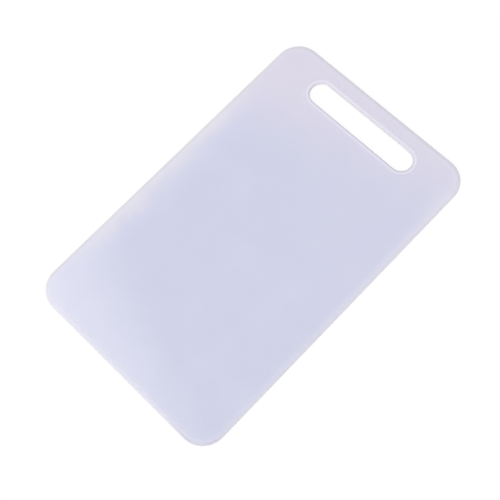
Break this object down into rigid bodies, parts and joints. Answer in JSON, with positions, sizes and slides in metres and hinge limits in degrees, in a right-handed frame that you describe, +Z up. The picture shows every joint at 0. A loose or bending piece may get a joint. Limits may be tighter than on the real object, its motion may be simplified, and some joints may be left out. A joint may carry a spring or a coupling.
{
  "type": "cutting board",
  "caption": "Thin flat plastic cutting board with round corners and a long finger slot near one end, framed by a low moulded bead, for chopping food on and hanging up.",
  "frame": {"origin": "centre of the underside, on the surface that the board lies on", "axes": "+X across the board, +Y along it towards the finger slot, +Z up out of the cutting face"},
  "size_m": [0.22, 0.35, 0.0033],
  "materials": {
    "board_plastic": "satin"
  },
  "bodies": {
    "root": {"board": "board_plastic"}
  },
  "joints": []
}
